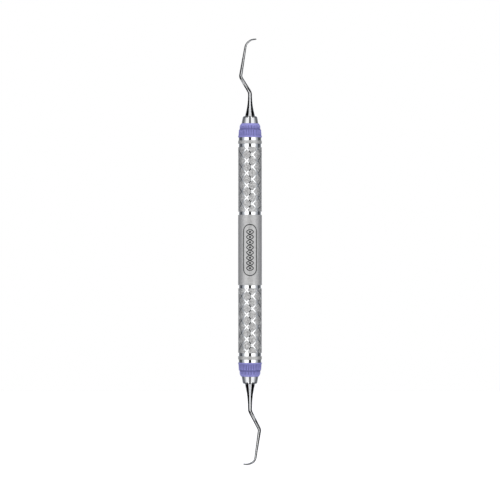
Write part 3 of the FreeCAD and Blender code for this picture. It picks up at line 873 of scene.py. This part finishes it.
# %% Working-end steel
CLOUDED_STEEL, CLEAR_STEEL = (0.66, 0.67, 0.68), (0.74, 0.745, 0.75)
MIRROR_ROUGH, BUFFED_ROUGH = 0.02, 0.04
BUFFED_HEIGHT = 0.0006 * MM
blade_material, tree, shader = new_material("blade_steel_finish")
point = object_point(tree)
lines = place_group(tree, polishing_lines, point, Along=0.04, Across=1.0).outputs["Lines"]
cloud = place_group(tree, cloudiness, point, Size=2.5).outputs["Cloud"]
colour = mix_colours(tree, cloud, CLOUDED_STEEL, CLEAR_STEEL)
tree.links.new(colour, shader.inputs["Base Color"])
rough = maths(tree, "MULTIPLY_ADD", lines, BUFFED_ROUGH, MIRROR_ROUGH)
tree.links.new(rough, shader.inputs["Roughness"])
shader.inputs["Metallic"].default_value = 1.0
bump(tree, shader, lines, BUFFED_HEIGHT)
finish_both("working_end", blade_material)
print("steel on both working ends")

# %% [markdown]
# ## Silicone
#
# The rings are lavender silicone with a soft, slightly dusty surface. Shade is painted into the
# colour: it is darker in the valleys between the ribs and at the step between the tiers, and a
# little darker on the plain lip and the top edge.

# %% Ring silicone
RING_LAVENDER = (0.40, 0.395, 0.90)
RING_PAINTED_SHADE = (0.02, 0.017, 0.13)
RING_DUST = (0.42, 0.41, 0.80)
DUST_SHARE = 0.16
SILICONE_ROUGH, SILICONE_GRAIN_ROUGH = 0.42, 0.12
SILICONE_GRAIN_HEIGHT = 0.006 * MM
ring_material, tree, shader = new_material("ring_silicone_finish")
point = object_point(tree)
valley = attribute(tree, "shaded")
grain = place_group(tree, blasted_grain, point, Size=0.25).outputs["Pits"]
cloud = place_group(tree, cloudiness, point, Size=1.5).outputs["Cloud"]
# Painted shade: the colour darkens towards a deep blue where the stored shade is high.
base = mix_colours(tree, valley, RING_LAVENDER, RING_PAINTED_SHADE)
dusty = mix_colours(tree, maths(tree, "MULTIPLY", cloud, DUST_SHARE), base, RING_DUST)
tree.links.new(dusty, shader.inputs["Base Color"])
rough = maths(tree, "MULTIPLY_ADD", grain, SILICONE_GRAIN_ROUGH, SILICONE_ROUGH)
tree.links.new(rough, shader.inputs["Roughness"])
shader.inputs["Specular IOR Level"].default_value = 0.4
bump(tree, shader, grain, SILICONE_GRAIN_HEIGHT)
finish_both("colour_ring", ring_material)
print("silicone on both rings")

# %% [markdown]
# ## Light, floor and camera
#
# Polished steel shows whatever surrounds it. The tool stands between two wide bright screens, one
# on each side of the camera, with a narrow dark gap where the camera looks through and dark cloth
# behind them. That gap draws the thin dark line down each polished part, and the cloth draws the
# dark edges. The world paints this room by direction, and what the camera sees directly is a
# plain pale backdrop.

# %% The room as a world
ROOM_STRENGTH = 2.0
# Degrees round from the camera's side, and the brightness there. In between it changes evenly.
ROOM_HALF = [(0, 0.02), (11.5, 0.025), (15, 0.95), (20, 1.0), (48, 1.0), (56, 0.74), (62, 0.42),
             (74, 0.27), (86, 0.21), (95, 0.08), (101, 0.03), (110, 0.04), (121, 0.1),
             (135, 0.13), (158, 0.14), (168, 0.7), (180, 0.9)]
SIDE_TINT = np.array([0.93, 0.98, 1.07])
TINT_FROM, TINT_TO = 50, 80


def room_colour(degrees, brightness):
    """The screens are neutral, and the cloth beside and behind the tool is faintly blue."""
    share = np.clip((degrees - TINT_FROM) / (TINT_TO - TINT_FROM), 0, 1)
    return (*(brightness * (1 + share * (SIDE_TINT - 1))), 1.0)


# %% Which way each ray looks
world = bpy.data.worlds.new("studio_room")
bpy.context.scene.world = world
world.use_nodes = True
tree = world.node_tree
tree.nodes.clear()
direction = tree.nodes.new("ShaderNodeTexCoord").outputs["Generated"]
split = tree.nodes.new("ShaderNodeSeparateXYZ")
tree.links.new(direction, split.inputs[0])
sideways = maths(tree, "ABSOLUTE", split.outputs["X"])
squared = maths(tree, "MULTIPLY", sideways, sideways)
off_side = maths(tree, "SQRT", maths(tree, "SUBTRACT", 1.0, squared))
facing = maths(tree, "SIGN", maths(tree, "MULTIPLY", split.outputs["Y"], -1.0))
turned = maths(tree, "ARCTAN2", sideways, maths(tree, "MULTIPLY", off_side, facing))

# %% The room's bands, and how they fade above and below
CLOTH_GREY, OVERHEAD_GREY = (0.16, 0.16, 0.17), (0.8, 0.8, 0.8)
# The screens fade to cloth in two stages: where each starts and ends, as the sine of the height
# angle, and how much of the screen it takes.
NEAR_FADE, FAR_FADE = (0.06, 0.36, 0.42), (0.66, 0.84, 0.58)
OVERHEAD_FROM, OVERHEAD_TO = 0.86, 0.96
ramp = tree.nodes.new("ShaderNodeValToRGB")
elements = ramp.color_ramp.elements
while len(elements) < len(ROOM_HALF):
    elements.new(0.5)
for element, (degrees, brightness) in zip(elements, ROOM_HALF):
    element.position = degrees / 180
    element.color = room_colour(degrees, brightness)
tree.links.new(maths(tree, "DIVIDE", turned, math.pi), ramp.inputs["Fac"])
height = maths(tree, "ABSOLUTE", split.outputs["Z"])
near_part, far_part = [remap(tree, height, first, last, 0.0, taken)
                       for first, last, taken in (NEAR_FADE, FAR_FADE)]
fading = maths(tree, "ADD", near_part, far_part)
screens = mix_colours(tree, fading, ramp.outputs["Color"], CLOTH_GREY)
overhead = remap(tree, split.outputs["Z"], OVERHEAD_FROM, OVERHEAD_TO)
room = mix_colours(tree, overhead, screens, OVERHEAD_GREY)

# %% What the camera sees behind the tool
room_light = tree.nodes.new("ShaderNodeBackground")
room_light.inputs["Strength"].default_value = ROOM_STRENGTH
tree.links.new(room, room_light.inputs["Color"])
backdrop = tree.nodes.new("ShaderNodeBackground")
backdrop.inputs["Color"].default_value = (1.0, 1.0, 1.0, 1.0)
light_path = tree.nodes.new("ShaderNodeLightPath")
choose = tree.nodes.new("ShaderNodeMixShader")
tree.links.new(light_path.outputs["Is Camera Ray"], choose.inputs[0])
tree.links.new(room_light.outputs[0], choose.inputs[1])
tree.links.new(backdrop.outputs[0], choose.inputs[2])
output = tree.nodes.new("ShaderNodeOutputWorld")
tree.links.new(choose.outputs[0], output.inputs["Surface"])
bpy.context.scene.view_settings.view_transform = "Standard"
print("room painted with", len(ROOM_HALF), "bands on each side")

# %% [markdown]
# The floor is pale and stays out of reflections. Otherwise it would wash out the lower working
# end, which hangs just above it.

# %% The floor
FLOOR_GAP = 1.5 * MM
FLOOR_HALF = 0.6
FLOOR_GLOW = 0.45
floor_height = cad_low.z - FLOOR_GAP
floor_corners = [(x * FLOOR_HALF, y * FLOOR_HALF, floor_height)
                 for x, y in ((-1, -1), (1, -1), (1, 1), (-1, 1))]
floor_mesh = bpy.data.meshes.new("floor")
floor_mesh.from_pydata(floor_corners, [], [(0, 1, 2, 3)])
floor = bpy.data.objects.new("floor", floor_mesh)
bpy.context.scene.collection.objects.link(floor)
floor_material, tree, shader = new_material("pale_floor")
shader.inputs["Base Color"].default_value = (0.85, 0.85, 0.85, 1.0)
shader.inputs["Roughness"].default_value = 0.9
shader.inputs["Emission Color"].default_value = (1.0, 1.0, 1.0, 1.0)
shader.inputs["Emission Strength"].default_value = FLOOR_GLOW
floor_mesh.materials.append(floor_material)
floor.visible_glossy = False
floor.visible_diffuse = False
print("floor", round(FLOOR_GAP / MM, 1), "mm below the tool")

# %% [markdown]
# Thin polished metal against a pale ground needs a dark outline. Round each working end stands a
# drum of black card with a tall window in front: two curved sides, a lid and a base. A short,
# close collar does the same for the straight shank, and is too low to show in the nose under it.
# The collar also has two glowing white strips in front, which brighten the shank's middle. A card
# shows in the steel and nowhere else. All the cards stop short of the back, so that the steel is
# not black from behind.

# %% Cards round the working ends
DRUM_LOW, DRUM_HIGH, DRUM_RADIUS = 61 * MM, 101 * MM, 20 * MM
COLLAR_LOW, COLLAR_HIGH, COLLAR_RADIUS = 56 * MM, 64 * MM, 8 * MM
BASE_HEIGHT, BASE_HOLE = 68 * MM, 9 * MM
STRIP_GLOW = 1.9
STRIP_FROM, STRIP_TO, BLACK_FROM, BLACK_TO = 14, 27, 29, 118
white_angle = np.radians(np.linspace(STRIP_FROM, STRIP_TO, 5))
black_angle = np.radians(np.linspace(BLACK_FROM, BLACK_TO, 20))
front_angle = np.radians(np.linspace(-BLACK_TO, BLACK_TO, 49))


def card_material(name, colour, glow):
    """A matt card with no shine of its own, which may glow."""
    material, tree, shader = new_material(name)
    shader.inputs["Base Color"].default_value = (colour, colour, colour, 1.0)
    shader.inputs["Roughness"].default_value = 1.0
    shader.inputs["Specular IOR Level"].default_value = 0.0
    shader.inputs["Emission Color"].default_value = (1.0, 1.0, 1.0, 1.0)
    shader.inputs["Emission Strength"].default_value = glow
    return material


def card(name, material, angle, first_edge, second_edge):
    """A strip between two edges, each a (radius, height), at bearings from -Y towards +X."""
    sine, cosine = np.sin(angle), np.cos(angle)
    edges = [np.column_stack([radius * sine, -radius * cosine, np.full(len(angle), height)])
             for radius, height in (first_edge, second_edge)]
    first = np.arange(len(angle) - 1)
    quads = np.column_stack([first, first + 1, first + 1 + len(angle), first + len(angle)])
    mesh = bpy.data.meshes.new(name)
    mesh.from_pydata(np.concatenate(edges).tolist(), [], quads.tolist())
    mesh.materials.append(material)
    piece = bpy.data.objects.new(name, mesh)
    piece.visible_camera = False
    piece.visible_diffuse = False
    piece.visible_shadow = False
    bpy.context.scene.collection.objects.link(piece)


# %% The drums and collars
black_card = card_material("black_card", 0.008, 0.0)
white_card = card_material("white_card", 0.8, STRIP_GLOW)
for end, up in (("upper", 1), ("lower", -1)):
    for side, way in (("right", 1), ("left", -1)):
        low, high = (COLLAR_RADIUS, up * COLLAR_LOW), (COLLAR_RADIUS, up * COLLAR_HIGH)
        card(f"{end}_{side}_collar", black_card, way * black_angle, low, high)
        card(f"{end}_{side}_strip", white_card, way * white_angle, low, high)
        low, high = (DRUM_RADIUS, up * DRUM_LOW), (DRUM_RADIUS, up * DRUM_HIGH)
        card(f"{end}_{side}_drum", black_card, way * black_angle, low, high)
    lid, base = up * DRUM_HIGH, up * BASE_HEIGHT
    card(f"{end}_lid", black_card, front_angle, (0.0, lid), (DRUM_RADIUS, lid))
    card(f"{end}_base", black_card, front_angle, (BASE_HOLE, base), (DRUM_RADIUS, base))
print("cards stand", round(DRUM_RADIUS / MM), "mm from the tool")

# %% [markdown]
# The camera looks level at the middle of the handle through a long lens, which keeps both ends
# free of perspective. Lens and sensor are in millimetres. FRAME_WIDTH is how many metres the
# view spans at the handle.

# %% The camera
LENS = 200.0
SENSOR = 36.0
FRAME_WIDTH = 0.2004
camera_data = bpy.data.cameras.new("camera")
camera_data.lens = LENS
camera_data.sensor_width = SENSOR
camera_data.clip_end = 10.0
camera = bpy.data.objects.new("camera", camera_data)
camera.location = (0.0, -FRAME_WIDTH * LENS / SENSOR, 0.0)
camera.rotation_euler = (math.pi / 2, 0.0, 0.0)
bpy.context.scene.collection.objects.link(camera)
bpy.context.scene.camera = camera
print(f"camera {-camera.location.y:.3f} m in front of the handle")
